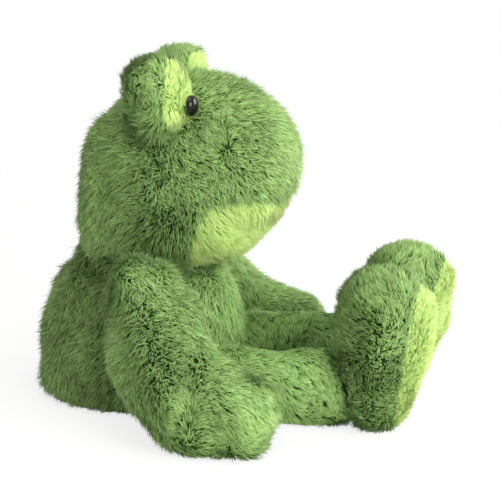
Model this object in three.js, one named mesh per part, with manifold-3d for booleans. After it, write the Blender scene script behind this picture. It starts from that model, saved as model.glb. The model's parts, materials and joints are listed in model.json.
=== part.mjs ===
// A plush frog that sits on its seat with its legs straight out and its hands on the floor.
// Millimetres. +X is the way it faces, +Y is its left and +Z is up. It is cut and sewn like the
// real one: each stuffed part is a skin of sewn panels round its own fibre filling, and each
// limb's rounded root is seated in a dimple of the larger part that carries it.
import * as THREE from "three";
import { mergeVertices } from "three/addons/utils/BufferGeometryUtils.js";
import Module from "manifold-3d";

const wasm = await Module();
wasm.setup();

// Cloth and seams
const plushThickness = 7; // backing cloth with its pile pressed flat
const seamGap = 0.3; // between two pieces that are sewn or pressed together
const fillingGap = 0.6; // between a skin's backing and the filling in it
const cutOverrun = 25; // how far a cutter runs past what it cuts
const ballSides = 18; // sides of a rounded root and of the dimple it sits in

// Torso, a pear whose flat seat rests on the floor
const torsoHeight = 96; // floor to the shoulder line, where the neck turns
const torsoDepth = 156;
const torsoWidth = 128;
const torsoSeatDome = 24;
const torsoShoulderDome = 24;
const sideSeamX = 22; // the seam between the back panel and the belly panel
// One row per station: height, shift forwards, half depth and half width
const torsoStationShares = [
  [0.21, -0.038, 0.936, 0.96],
  [0.52, 0.016, 1, 1],
  [0.76, 0.027, 0.946, 0.95],
  [1, 0.032, 0.84, 0.9],
];
const pouchDepth = 76; // the pellet pouch that weights the seat
const pouchWidth = 70;
const pouchHeight = 22;
const pouchX = -8;

// Neck, a dome on the torso that the head is sewn down over
const neckRadius = 46;
const headNod = 8; // degrees each way
const nodMargin = 0.7; // degrees left at the end of the nod

// Head
const headLength = 160;
const headHeight = 148;
const headWidth = 126;
const headBackX = -42; // back of the head from the neck's axis
const headCentreZ = 79; // middle of the head above the neck's centre
const headSquareness = 2.1;
const headBackDome = 25;
const snoutDome = 8;
// One row per station: along the head, shift upwards, half height, half width, and the jowl, how
// much broader the head is below its middle than above it
const headStationShares = [
  [0.149, -0.14, 0.86, 0.82, 0.22],
  [0.28, -0.075, 0.976, 0.96, 0.32],
  [0.435, -0.02, 1.02, 1, 0.42],
  [0.589, -0.003, 0.993, 1, 0.42],
  [0.72, -0.003, 0.94, 1, 0.32],
  [0.821, 0.008, 0.785, 0.97, 0.2],
  [0.905, 0.018, 0.59, 0.88, 0.12],
  [0.955, 0.01, 0.37, 0.69, 0.08],
];
const mouthHeight = 66; // mouth seam above the neck's centre
const mouthCornerX = 65;
const mouthCornerRadius = 14;
const throatX = 16;
const lipStep = 1.5; // how far the chin panel lies behind the muzzle

// Eye mounds, one stuffed pocket each side of the crown
const moundDepth = 52;
const moundWidth = 52;
const moundHeight = 60;
const moundX = 25.5;
const moundY = headWidth * 0.3;
const moundLean = 13; // degrees, how far its top leans back
const moundSeamX = 5; // the lime front starts this far before the mound's middle

// Plastic safety eyes: a glossy dome on a ribbed shank, held inside by a slotted washer
const eyeRadius = 7.5;
const eyeDomeHeight = 5;
const eyeSplay = 12; // degrees outwards
const eyeDrop = 6; // below the mound's middle
const eyeRise = 5.7; // middle of the eye above the crown's surface under it
const eyeRecess = 2.5; // how deep the dome sits in the pile
const shankRadius = 1.9;
const shankLength = 13;
const shankRibs = 3;
const ribHeight = 0.35;
const washerRadius = 6.5;
const washerThickness = 1.4;
const washerSlots = 4;
const washerSlotWidth = 0.9;
const washerSlotLength = 2.2;

// Arms, bent forwards at the wrist so that each hand lies on the floor beside a leg
const shoulderX = torsoDepth * 0.144;
const shoulderStandOff = 14.5; // middle of the shoulder's ball outside the torso's side
const shoulderY = torsoWidth / 2 + shoulderStandOff;
const shoulderZ = 98;
const shoulderRadius = 28;
const jowlRoom = 4; // how far the head keeps off the shoulders, so that it can nod
const armDrop = 80;
const armReach = 78;
const armGirth = 70;
const handThickness = 56;
const handDome = 24;
const armSplay = 30; // degrees, how far the arm leans away from the side
// One row per station: reach, drop, half girth and half thickness
const armStationShares = [
  [0.11, -0.27, 0.96, 0.87],
  [0.24, -0.6, 1.02, 0.95],
  [0.48, -0.885, 1.02, 0.98],
  [1, -1, 0.83, 0.96],
];

// Legs and feet
const hipSink = 10; // middle of the hip's ball behind the front of the belly
const hipX = torsoDepth / 2 - hipSink;
const hipY = torsoWidth * 0.352;
const hipRadius = 27;
const legLength = 85; // hip to ankle
const ankleRadius = 26;
const legRaise = 12; // degrees above the floor
const legDrop = 70; // degrees below it
const footDepth = 77;
const footWidth = 78;
const footHeight = 118;
const footX = 28; // middle of the foot before the ankle
const footZ = 37.5; // middle of the foot above the ankle
const footSeamX = 17; // the lime sole starts this far before the foot's middle
const footFlex = 15; // degrees each way
const footFlexMargin = 1; // degrees
const rightLegAngle = 0; // degrees, how the legs and feet lie as it sits
const leftLegAngle = 3.6;
const rightFootAngle = 9;
const leftFootAngle = 19;
// One row per station: height, half depth and half width
const footStationShares = [
  [0.25, 0.9, 0.9],
  [0.5, 1, 1],
  [0.73, 0.93, 0.92],
];
const footDomeShare = 0.255;

// Colours and finishes
const materials = {
  green: new THREE.MeshStandardMaterial({ color: 0x5f9c4c, roughness: 1 }),
  lime: new THREE.MeshStandardMaterial({ color: 0xb6dc74, roughness: 1 }),
  fibre: new THREE.MeshStandardMaterial({ color: 0xf1efe8, roughness: 1 }),
  pouch: new THREE.MeshStandardMaterial({ color: 0xd9d2c0, roughness: 0.9 }),
  eye: new THREE.MeshStandardMaterial({ color: 0x0b0a0a, roughness: 0.08 }),
  washer: new THREE.MeshStandardMaterial({ color: 0xe6e6e2, roughness: 0.5 }),
};

const radians = THREE.MathUtils.degToRad;
const leftAndRight = [
  ["left", 1],
  ["right", -1],
];

// A closed three.js geometry as a solid that can be joined and cut.
function solidOf(geometry) {
  const bare = geometry.clone();
  bare.deleteAttribute("normal");
  bare.deleteAttribute("uv");
  const merged = mergeVertices(bare, 1e-4);
  return new wasm.Manifold(
    new wasm.Mesh({
      numProp: 3,
      vertProperties: merged.attributes.position.array,
      triVerts: new Uint32Array(merged.index.array),
    }),
  );
}

// A solid as a named mesh.
function piece(name, solid, material) {
  const { vertProperties, triVerts } = solid.getMesh();
  const geometry = new THREE.BufferGeometry();
  geometry.setAttribute(
    "position",
    new THREE.BufferAttribute(new Float32Array(vertProperties), 3),
  );
  geometry.setIndex(new THREE.BufferAttribute(triVerts, 1));
  geometry.computeVertexNormals();
  const mesh = new THREE.Mesh(geometry, material);
  mesh.name = name;
  return mesh;
}

// A cosine or sine pulled towards a square: 2 is an ellipse and more is boxier.
function squared(value, squareness) {
  return Math.sign(value) * Math.abs(value) ** (2 / squareness);
}

// A stuffed form: an oval section carried along a spine in the XZ plane and closed by a dome at
// each end. A station is { x, z, deep, wide, jowl }: a point of the spine, the section's half size
// in the XZ plane, its half size along Y, and how much broader it is below than above. Sections
// stand square to the spine, or to the axis "x" or "z" where the form names one. An inset draws
// the whole surface in by that much.
function stuffedForm(form, inset = 0) {
  const { stations, startDome, endDome, sides, rings, domeRings } = form;
  const sectionSquareness = form.squareness ?? 2;
  const spine = new THREE.CatmullRomCurve3(
    stations.map(({ x, z }) => new THREE.Vector3(x, 0, z)),
    false,
    "catmullrom",
  );
  const girth = new THREE.CatmullRomCurve3(
    stations.map(({ deep, wide, jowl = 0 }) => new THREE.Vector3(deep, wide, jowl)),
    false,
    "catmullrom",
  );
  const facing = (t) =>
    form.axis ? new THREE.Vector3().setComponent("xyz".indexOf(form.axis), 1) : spine.getTangent(t);
  const positions = [];
  const addRing = (t, along, scale) => {
    const centre = spine.getPoint(t);
    const tangent = facing(t);
    const normal = new THREE.Vector3(tangent.z, 0, -tangent.x);
    const { x: halfDeep, y: halfWide, z: jowl } = girth.getPoint(t);
    centre.addScaledVector(tangent, along);
    for (let side = 0; side < sides; side++) {
      const angle = (2 * Math.PI * side) / sides;
      const fullness = (1 + jowl * Math.cos(angle)) * scale;
      const deep = (halfDeep - inset) * squared(Math.cos(angle), sectionSquareness) * scale;
      const wide = (halfWide - inset) * squared(Math.sin(angle), sectionSquareness) * fullness;
      positions.push(centre.x + normal.x * deep, wide, centre.z + normal.z * deep);
    }
  };
  const domeAngle = (ring) => (Math.PI / 2) * (ring / domeRings);
  const bluntness = form.startBluntness ?? 2;
  for (let ring = 1; ring < domeRings; ring++) {
    const back = squared(Math.cos(domeAngle(ring)), bluntness) * (startDome - inset);
    addRing(0, -back, squared(Math.sin(domeAngle(ring)), bluntness));
  }
  for (let ring = 0; ring <= rings; ring++) {
    addRing(ring / rings, 0, 1);
  }
  for (let ring = domeRings - 1; ring > 0; ring--) {
    addRing(1, Math.cos(domeAngle(ring)) * (endDome - inset), Math.sin(domeAngle(ring)));
  }
  const ringCount = positions.length / 3 / sides;
  const startPole = spine.getPoint(0).addScaledVector(facing(0), inset - startDome);
  const endPole = spine.getPoint(1).addScaledVector(facing(1), endDome - inset);
  positions.push(...startPole.toArray(), ...endPole.toArray());
  const start = ringCount * sides;
  const end = start + 1;
  const index = [];
  for (let side = 0; side < sides; side++) {
    const next = (side + 1) % sides;
    index.push(start, next, side);
    for (let ring = 0; ring + 1 < ringCount; ring++) {
      const low = ring * sides;
      const high = low + sides;
      index.push(low + side, low + next, high + next);
      index.push(low + side, high + next, high + side);
    }
    index.push(end, start - sides + side, start - sides + next);
  }
  const geometry = new THREE.BufferGeometry();
  geometry.setAttribute("position", new THREE.Float32BufferAttribute(positions, 3));
  geometry.setIndex(index);
  return solidOf(geometry);
}

// The same form with about half the facets, for surfaces that no one sees.
function hidden(form) {
  return {
    ...form,
    sides: Math.max(8, Math.round(form.sides / 2)),
    domeRings: Math.max(2, form.domeRings - 1),
  };
}

// The cavity inside a skin, and the filling that lies in it.
const cavityOf = (form) => stuffedForm(hidden(form), plushThickness);
const fillingOf = (form) => stuffedForm(hidden(form), plushThickness + fillingGap);

// A rounded root with its poles on the hinge's axis, Y.
function ball(radius) {
  return solidOf(new THREE.SphereGeometry(radius, ballSides, ballSides / 2));
}

// The radius of a faceted dimple whose flats still clear a ball of the given radius.
function dimpleRadius(radius) {
  return (radius + seamGap) / Math.cos(Math.PI / ballSides);
}

const dimple = (radius) => ball(dimpleRadius(radius));

// A dimple for a ball at the origin whose shaft leaves along -X, flared so that the shaft can
// tilt by an angle to every side.
function flaredDimple(radius, flare, reach) {
  const wall = dimpleRadius(radius);
  const profile = [];
  const steps = ballSides / 2;
  for (let step = 0; step <= steps; step++) {
    const angle = (Math.PI / 2 - flare) * (step / steps);
    profile.push(new THREE.Vector2(wall * Math.sin(angle), -wall * Math.cos(angle)));
  }
  const mouth = profile[steps].clone();
  mouth.add(new THREE.Vector2(reach * Math.sin(flare), reach * Math.cos(flare)));
  profile.push(mouth, new THREE.Vector2(0, mouth.y));
  return solidOf(new THREE.LatheGeometry(profile, ballSides).rotateZ(Math.PI / 2));
}

// A block that fills everything on one side of a plane. The side is +1 or -1 along the axis.
function halfSpace(axis, at, side, reach) {
  const size = new THREE.Vector3(2, 2, 2).multiplyScalar(reach);
  size[axis] = reach;
  const centre = new THREE.Vector3();
  centre[axis] = at + (side * reach) / 2;
  const block = new THREE.BoxGeometry(size.x, size.y, size.z);
  return solidOf(block.translate(centre.x, centre.y, centre.z));
}

// Cuts a skin in two along a seam plane and returns [the part before it, the part behind it].
function sewnAlong(skin, axis, at, reach) {
  return [1, -1].map((side) =>
    skin.intersect(halfSpace(axis, at + (side * seamGap) / 2, side, reach)),
  );
}

const placed = (solid, x, y, z) => solid.translate([x, y, z]);

// Torso
function torsoForm() {
  return {
    stations: torsoStationShares.map(([height, forward, deep, wide]) => ({
      x: forward * torsoDepth,
      z: height * torsoHeight,
      deep: (deep * torsoDepth) / 2,
      wide: (wide * torsoWidth) / 2,
    })),
    startDome: torsoSeatDome,
    endDome: torsoShoulderDome,
    startBluntness: 2.6,
    axis: "z",
    sides: 22,
    rings: 3,
    domeRings: 4,
  };
}

// The pear up to the shoulder line, with its seat cut flat and the neck's dome on top.
function torsoBody(make, form, inset) {
  const reach = torsoDepth + cutOverrun;
  return make(form)
    .intersect(halfSpace("z", torsoHeight - inset, -1, reach))
    .add(placed(ball(neckRadius - inset), 0, 0, torsoHeight))
    .intersect(halfSpace("z", inset, 1, reach * 2));
}

// The room that a leg sweeps in front of the torso, in the plane that it swings in.
function legSweep() {
  const wall = dimpleRadius(hipRadius);
  const reach = torsoDepth / 2;
  const up = radians(legRaise + footFlexMargin);
  const down = radians(-legDrop - footFlexMargin);
  const edge = (direction, side, along) =>
    new THREE.Vector2(
      along * Math.cos(direction) - side * wall * Math.sin(direction),
      along * Math.sin(direction) + side * wall * Math.cos(direction),
    );
  const outline = new THREE.Shape([
    new THREE.Vector2(0, 0),
    edge(down, -1, 0),
    edge(down, -1, reach),
    edge((up + down) / 2, 0, reach * 2),
    edge(up, 1, reach),
    edge(up, 1, 0),
  ]);
  const slab = new THREE.ExtrudeGeometry(outline, { depth: wall * 2, bevelEnabled: false });
  return solidOf(slab.rotateX(Math.PI / 2).translate(0, wall, 0));
}

function pouchForm(grow) {
  const round = pouchHeight / 2;
  return {
    stations: [-1, 0, 1].map((end) => ({
      x: end * (pouchDepth / 2 - round),
      z: 0,
      deep: (end ? round * 0.8 : round) + grow,
      wide: (pouchWidth / 2) * (end ? 0.85 : 1) + grow,
    })),
    startDome: round + grow,
    endDome: round + grow,
    sides: 12,
    rings: 4,
    domeRings: 3,
  };
}

function makeTorso() {
  const form = torsoForm();
  const sockets = leftAndRight.flatMap(([, side]) => [
    placed(dimple(shoulderRadius), shoulderX, side * shoulderY, shoulderZ),
    placed(dimple(hipRadius), hipX, side * hipY, hipRadius),
    placed(legSweep(), hipX, side * hipY, hipRadius),
  ]);
  const carved = (solid) => sockets.reduce((left, socket) => left.subtract(socket), solid);
  const outer = torsoBody(stuffedForm, form, 0);
  const cavity = torsoBody(cavityOf, form, plushThickness);
  const skin = carved(outer.subtract(cavity));
  const [belly, back] = sewnAlong(skin, "x", sideSeamX, torsoDepth + torsoHeight);
  const pouchZ = plushThickness + fillingGap + pouchHeight / 2;
  const pouchRoom = placed(stuffedForm(pouchForm(seamGap)), pouchX, 0, pouchZ);
  const filling = carved(torsoBody(fillingOf, form, plushThickness + fillingGap));
  const group = new THREE.Group();
  group.add(
    piece("torso_back_skin", back, materials.green),
    piece("torso_belly_skin", belly, materials.green),
    piece("torso_filling", filling.subtract(pouchRoom), materials.fibre),
    piece(
      "seat_pellet_pouch",
      placed(stuffedForm(pouchForm(0)), pouchX, 0, pouchZ),
      materials.pouch,
    ),
  );
  return group;
}

// Head
function headForm() {
  return {
    stations: headStationShares.map(([along, up, deep, wide, jowl]) => ({
      x: headBackX + along * headLength,
      z: headCentreZ + up * headHeight,
      deep: (deep * headHeight) / 2,
      wide: (wide * headWidth) / 2,
      jowl,
    })),
    startDome: headBackDome,
    endDome: snoutDome,
    squareness: headSquareness,
    axis: "x",
    sides: 22,
    rings: 7,
    domeRings: 3,
  };
}

// What lies under the head: the neck's dome, and below it the room that a nod needs.
function neckRoom() {
  const wall = dimpleRadius(neckRadius);
  const rise = radians(headNod + nodMargin);
  const reach = headLength;
  const profile = [new THREE.Vector2(0, -cutOverrun - neckRadius)];
  profile.push(new THREE.Vector2(reach, -cutOverrun - neckRadius));
  profile.push(new THREE.Vector2(reach, reach * Math.tan(rise)));
  const steps = ballSides / 3;
  for (let step = 0; step <= steps; step++) {
    const angle = rise + (Math.PI / 2 - rise) * (step / steps);
    profile.push(new THREE.Vector2(wall * Math.cos(angle), wall * Math.sin(angle)));
  }
  profile[profile.length - 1].x = 0;
  return solidOf(new THREE.LatheGeometry(profile, ballSides).rotateX(Math.PI / 2));
}

// Everything below the mouth seam and before the throat seam, as a slab across the head.
function chinRegion(grow) {
  const front = headBackX + headLength + cutOverrun;
  const low = -neckRadius;
  const top = mouthHeight + grow;
  const corner = mouthCornerX - grow;
  const outline = new THREE.Shape();
  outline.moveTo(front, low);
  outline.lineTo(front, top);
  outline.lineTo(corner + mouthCornerRadius, top);
  outline.quadraticCurveTo(corner, top, corner - mouthCornerRadius / 2, top - mouthCornerRadius);
  outline.lineTo(throatX - grow, low);
  const depth = headWidth + cutOverrun;
  const slab = new THREE.ExtrudeGeometry(outline, { depth, bevelEnabled: false, curveSegments: 3 });
  return solidOf(slab.rotateX(Math.PI / 2).translate(0, depth / 2, 0));
}

// An eye mound, an upright egg whose spine runs up through its middle.
function moundForm() {
  const halfHeight = moundHeight / 2;
  return {
    stations: [-1, 0, 1].map((end) => ({
      x: (-end * halfHeight * Math.tan(radians(moundLean))) / 3,
      z: (end * halfHeight) / 3,
      deep: (moundDepth / 2) * (end ? 0.94 : 1),
      wide: (moundWidth / 2) * (end ? 0.94 : 1),
    })),
    startDome: (halfHeight * 2) / 3,
    endDome: (halfHeight * 2) / 3,
    sides: 16,
    rings: 2,
    domeRings: 4,
  };
}

// A round bar or hole along X between two places.
function bar(radius, from, to, sides = 16) {
  const rod = new THREE.CylinderGeometry(radius, radius, to - from, sides);
  return solidOf(rod.rotateZ(Math.PI / 2).translate((from + to) / 2, 0, 0));
}

// The eye looks along +X with its seat at x = 0, its dome before that and its shank behind.
function eyeSolid() {
  const profile = [new THREE.Vector2(0, -shankLength)];
  const pitch = (shankLength - plushThickness) / shankRibs;
  profile.push(new THREE.Vector2(shankRadius - ribHeight, -shankLength));
  for (let rib = 0; rib < shankRibs; rib++) {
    const low = -shankLength + rib * pitch;
    profile.push(new THREE.Vector2(shankRadius, low + pitch / 2));
    profile.push(new THREE.Vector2(shankRadius - ribHeight, low + pitch));
  }
  profile.push(new THREE.Vector2(shankRadius - ribHeight, 0));
  profile.push(new THREE.Vector2(eyeRadius - ribHeight, 0));
  const steps = 4;
  for (let step = 0; step < steps; step++) {
    const angle = (Math.PI / 2) * (step / steps);
    const out = ribHeight + (eyeDomeHeight - ribHeight) * Math.sin(angle);
    profile.push(new THREE.Vector2(eyeRadius * Math.cos(angle), out));
  }
  profile.push(new THREE.Vector2(0, eyeDomeHeight));
  return solidOf(new THREE.LatheGeometry(profile, 14).rotateZ(-Math.PI / 2));
}

// Where the cloth is pinched between the eye's seat and its washer.
const washerX = -(plushThickness - eyeRecess) - seamGap;

function washerSolid() {
  const hole = bar(shankRadius + seamGap / 2, washerX - cutOverrun, washerX + cutOverrun);
  const slot = new THREE.BoxGeometry(cutOverrun, washerSlotWidth, washerSlotLength * 2);
  slot.translate(washerX, 0, shankRadius);
  let washer = bar(washerRadius, washerX - washerThickness, washerX).subtract(hole);
  for (let turn = 0; turn < washerSlots; turn++) {
    const angle = (2 * Math.PI * turn) / washerSlots;
    washer = washer.subtract(solidOf(slot.clone().rotateX(angle)));
  }
  return washer;
}

// What the eye and its washer take out of the mound's front and filling.
function eyeRoom() {
  const pocketBack = washerX - washerThickness - seamGap;
  return bar(eyeRadius + seamGap, -seamGap, cutOverrun)
    .add(bar(shankRadius + seamGap, -shankLength - seamGap, 0))
    .add(bar(washerRadius + seamGap, pocketBack, washerX + seamGap));
}

// The height of the crown's surface at a place.
function crownAt(head, x, y) {
  const column = new THREE.BoxGeometry(seamGap, seamGap, headHeight * 4).translate(x, y, 0);
  return stuffedForm(head).intersect(solidOf(column)).boundingBox().max[2];
}

// The eye's place on its mound, in the head's frame.
function eyeFrame(side, head) {
  const splay = radians(side * eyeSplay);
  const out = new THREE.Vector3(Math.cos(splay), Math.sin(splay), 0);
  const surface = 1 / Math.hypot(out.x / (moundDepth / 2), out.y / (moundWidth / 2));
  const frame = new THREE.Group();
  const forwards = eyeDrop * Math.tan(radians(moundLean));
  frame.position.set(moundX + forwards, side * moundY, 0);
  frame.position.addScaledVector(out, surface - eyeRecess);
  frame.position.z = crownAt(head, frame.position.x, moundY) + eyeRise;
  frame.rotation.z = splay;
  frame.updateMatrix();
  return frame;
}

const inFrame = (solid, frame) => solid.transform(frame.matrix.toArray());

function makeEyeMound(name, side, head) {
  const form = moundForm();
  const above = stuffedForm(head, -seamGap);
  const eyes = eyeFrame(side, head);
  const put = (solid) =>
    placed(solid, moundX, side * moundY, eyes.position.z + eyeDrop).subtract(above);
  const skin = put(stuffedForm(form).subtract(cavityOf(form)));
  const [front, back] = sewnAlong(skin, "x", moundX + moundSeamX, headLength * 2);
  const room = inFrame(eyeRoom(), eyes);
  const group = new THREE.Group();
  group.add(
    piece(`eye_mound_${name}_back`, back, materials.green),
    piece(`eye_mound_${name}_front`, front.subtract(room), materials.lime),
    piece(`eye_mound_${name}_filling`, put(fillingOf(form)).subtract(room), materials.fibre),
    eyes,
  );
  eyes.add(
    piece(`eye_${name}`, eyeSolid(), materials.eye),
    piece(`eye_washer_${name}`, washerSolid(), materials.washer),
  );
  return group;
}

// What the neck and the shoulders press out of the head from below.
function bodyRoom() {
  return leftAndRight.reduce((room, [, side]) => {
    const shoulder = ball(dimpleRadius(shoulderRadius) + jowlRoom);
    return room.add(placed(shoulder, shoulderX, side * shoulderY, shoulderZ - torsoHeight));
  }, neckRoom());
}

function makeHead() {
  const form = headForm();
  const room = bodyRoom();
  const cavity = cavityOf(form);
  const crown = stuffedForm(form).subtract(cavity).subtract(chinRegion(seamGap / 2));
  const chin = stuffedForm(form, lipStep).subtract(cavity).intersect(chinRegion(-seamGap / 2));
  const group = new THREE.Group();
  group.position.z = torsoHeight;
  group.add(
    piece("head_crown_skin", crown.subtract(room), materials.green),
    piece("head_chin_skin", chin.subtract(room), materials.lime),
    piece("head_filling", fillingOf(form).subtract(room), materials.fibre),
  );
  leftAndRight.forEach(([name, side]) => group.add(makeEyeMound(name, side, form)));
  return group;
}

// Arm, with its shoulder at the origin and its spine in the XZ plane
function armForm() {
  const root = shoulderRadius - seamGap;
  return {
    stations: [
      { x: 0, z: 0, deep: root, wide: root },
      ...armStationShares.map(([reach, drop, deep, wide]) => ({
        x: reach * armReach,
        z: drop * armDrop,
        deep: (deep * armGirth) / 2,
        wide: (wide * handThickness) / 2,
      })),
    ],
    startDome: root,
    endDome: handDome,
    sides: 14,
    rings: 8,
    domeRings: 3,
  };
}

function makeArm(name, side) {
  const form = armForm();
  const skin = stuffedForm(form).subtract(cavityOf(form));
  const panels = sewnAlong(skin, "y", 0, armDrop + armReach);
  const [outer, inner] = side > 0 ? panels : panels.reverse();
  const group = new THREE.Group();
  group.position.set(shoulderX, side * shoulderY, shoulderZ);
  group.rotation.x = radians(side * armSplay);
  group.add(
    piece(`arm_${name}_outer_skin`, outer, materials.green),
    piece(`arm_${name}_inner_skin`, inner, materials.green),
    piece(`arm_${name}_filling`, fillingOf(form), materials.fibre),
  );
  return group;
}

// Leg, with its hip at the origin and its ankle along +X
function legForm() {
  const hip = hipRadius - seamGap;
  const ankle = ankleRadius - seamGap;
  return {
    stations: [
      { x: 0, z: 0, deep: hip, wide: hip },
      { x: legLength / 2, z: 0, deep: (hip + ankle) / 2, wide: (hip + ankle) / 2 },
      { x: legLength, z: 0, deep: ankle, wide: ankle },
    ],
    startDome: hip,
    endDome: ankle,
    sides: 16,
    rings: 3,
    domeRings: 4,
  };
}

// Foot, with its ankle at the origin, upright, and its sole facing +X
function footForm() {
  const dome = footDomeShare * footHeight;
  return {
    stations: footStationShares.map(([height, deep, wide]) => ({
      x: footX,
      z: footZ + (height - 0.5) * footHeight,
      deep: (deep * footDepth) / 2,
      wide: (wide * footWidth) / 2,
    })),
    startDome: dome,
    endDome: dome,
    sides: 18,
    rings: 4,
    domeRings: 4,
  };
}

function makeFoot(name, lean) {
  const form = footForm();
  const flare = radians(footFlex + footFlexMargin);
  const room = flaredDimple(ankleRadius, flare, footHeight).rotate([0, -lean, 0]);
  const skin = stuffedForm(form).subtract(cavityOf(form)).subtract(room);
  const [sole, upper] = sewnAlong(skin, "x", footX + footSeamX, footHeight * 2);
  const group = new THREE.Group();
  group.position.x = legLength;
  group.rotation.y = radians(lean);
  group.add(
    piece(`foot_${name}_upper_skin`, upper, materials.green),
    piece(`foot_${name}_sole_skin`, sole, materials.lime),
    piece(`foot_${name}_filling`, fillingOf(form).subtract(room), materials.fibre),
  );
  return group;
}

function makeLeg(name, side, lift, lean) {
  const form = legForm();
  const skin = stuffedForm(form).subtract(cavityOf(form));
  const panels = sewnAlong(skin, "y", 0, legLength * 2);
  const [outer, inner] = side > 0 ? panels : panels.reverse();
  const group = new THREE.Group();
  group.position.set(hipX, side * hipY, hipRadius);
  group.rotation.y = radians(-lift);
  group.add(
    piece(`leg_${name}_outer_skin`, outer, materials.green),
    piece(`leg_${name}_inner_skin`, inner, materials.green),
    piece(`leg_${name}_filling`, fillingOf(form), materials.fibre),
    makeFoot(name, lean + lift),
  );
  return group;
}

// The whole frog, moved so that the origin is below its middle, on the floor
const frog = new THREE.Group();
frog.add(makeTorso(), makeHead());
leftAndRight.forEach(([name, side]) => frog.add(makeArm(name, side)));
frog.add(
  makeLeg("left", 1, leftLegAngle, leftFootAngle),
  makeLeg("right", -1, rightLegAngle, rightFootAngle),
);
const middle = new THREE.Box3().setFromObject(frog, true).getCenter(new THREE.Vector3());
frog.position.x = -middle.x;

export default frog;
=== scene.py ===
# %% [markdown]
# # A plush frog, sitting
#
# The real frog is a stuffed toy: panels of long-pile plush are sewn into bags, and each bag is
# packed with fibre. The eye sees the pile, thousands of locks that lean the way they were
# brushed, dark between their roots and light at their tips.
#
# A bump on a smooth body would leave its outline bald. Here each bag is a smooth closed surface,
# and its pile is real geometry: one small curved spike for each lock.

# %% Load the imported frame
import json
import math

import bpy
import numpy as np
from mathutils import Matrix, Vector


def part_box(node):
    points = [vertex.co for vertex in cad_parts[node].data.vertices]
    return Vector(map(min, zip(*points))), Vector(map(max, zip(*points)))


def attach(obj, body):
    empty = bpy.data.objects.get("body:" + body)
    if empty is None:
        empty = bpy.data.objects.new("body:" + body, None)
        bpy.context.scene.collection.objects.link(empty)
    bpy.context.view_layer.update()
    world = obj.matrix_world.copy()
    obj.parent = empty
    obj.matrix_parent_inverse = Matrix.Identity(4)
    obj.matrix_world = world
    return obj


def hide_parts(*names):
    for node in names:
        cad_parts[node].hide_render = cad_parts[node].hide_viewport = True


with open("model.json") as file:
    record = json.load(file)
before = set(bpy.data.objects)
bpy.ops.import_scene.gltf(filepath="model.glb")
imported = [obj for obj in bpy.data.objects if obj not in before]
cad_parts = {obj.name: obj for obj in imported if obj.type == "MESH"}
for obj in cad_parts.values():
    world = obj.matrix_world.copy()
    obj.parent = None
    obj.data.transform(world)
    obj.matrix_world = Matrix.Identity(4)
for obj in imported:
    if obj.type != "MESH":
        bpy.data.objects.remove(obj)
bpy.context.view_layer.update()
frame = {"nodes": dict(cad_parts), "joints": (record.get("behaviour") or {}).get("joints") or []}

# %% [markdown]
# ## The stage
#
# The photograph looks at the frog's right side, ten degrees round towards its face and thirteen
# down, with a long lens. The camera stands on a circle about a point of the middle plane.

# %% Camera
MM = 0.001
AZIMUTH = math.radians(10)
PITCH = math.radians(12.79)
AIM_X = 6 * MM
DISTANCE = 1150 * MM
EYE_LEVEL = 375 * MM
FIELD_OF_VIEW = math.radians(17.73)


def placed(name, data):
    """A new object of the scene with the given data."""
    thing = bpy.data.objects.new(name, data)
    bpy.context.collection.objects.link(thing)
    return thing


camera = placed("camera", bpy.data.cameras.new("camera"))
camera.data.angle = FIELD_OF_VIEW
camera.location = (AIM_X + DISTANCE * math.sin(AZIMUTH), -DISTANCE * math.cos(AZIMUTH), EYE_LEVEL)
camera.rotation_euler = (math.pi / 2 - PITCH, 0, AZIMUTH)
bpy.context.scene.camera = camera
bpy.context.scene.view_settings.view_transform = "Standard"
print("camera at", [round(x, 3) for x in camera.location])

# %% [markdown]
# ## Finishes
#
# Every finish is a small network of nodes. One function adds a node, sets it and wires it.
# Colours are written as on a screen, and light works with linear ones.

# %% Helpers for materials
def colour(hexadecimal):
    """An sRGB colour as linear red, green, blue and alpha: each channel above 0.04045 is
    ((c + 0.055) / 1.055) to the power 2.4, and each below it is c / 12.92."""
    channels = [int(hexadecimal[i : i + 2], 16) / 255 for i in (1, 3, 5)]
    linear = [c / 12.92 if c <= 0.04045 else ((c + 0.055) / 1.055) ** 2.4 for c in channels]
    return (*linear, 1.0)


def feed(tree, socket, value):
    """Gives an input socket a value, or wires another node's output to it."""
    if isinstance(value, bpy.types.NodeSocket):
        tree.links.new(value, socket)
    else:
        socket.default_value = value


def add(tree, kind, inputs=None, **settings):
    """Adds a node of a kind, sets its properties and feeds its named inputs."""
    node = tree.nodes.new("ShaderNode" + kind)
    for name, value in settings.items():
        setattr(node, name, value)
    for name, value in (inputs or {}).items():
        feed(tree, node.inputs[name], value)
    return node


def new_material(name):
    """A material, its node tree, and the place on the object that its textures follow."""
    material = bpy.data.materials.new(name)
    material.use_nodes = True
    tree = material.node_tree
    tree.nodes.clear()
    return material, tree, add(tree, "TexCoord").outputs["Object"]


def end_in(tree, inputs):
    """Ends a network in a surface with the given inputs."""
    shader = add(tree, "BsdfPrincipled", inputs)
    add(tree, "OutputMaterial", {"Surface": shader.outputs["BSDF"]})


def ranged(tree, value, low, high, start=0.0, end=1.0, **settings):
    """A value whose run from start to end is carried over to a run from low to high."""
    return add(tree, "MapRange", {"Value": value, "From Min": start, "From Max": end,
                                  "To Min": low, "To Max": high}, **settings).outputs["Result"]


def worked(tree, operation, a, b):
    """An operation on two numbers."""
    return add(tree, "Math", {0: a, 1: b}, operation=operation).outputs[0]


def mixed(tree, factor, a, b):
    """Two colours blended by a factor."""
    node = add(tree, "Mix", data_type="RGBA")
    for index, value in ((0, factor), (6, a), (7, b)):
        feed(tree, node.inputs[index], value)
    return node.outputs[2]


print("a mid green as light:", [round(channel, 3) for channel in colour("#567f30")])

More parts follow.
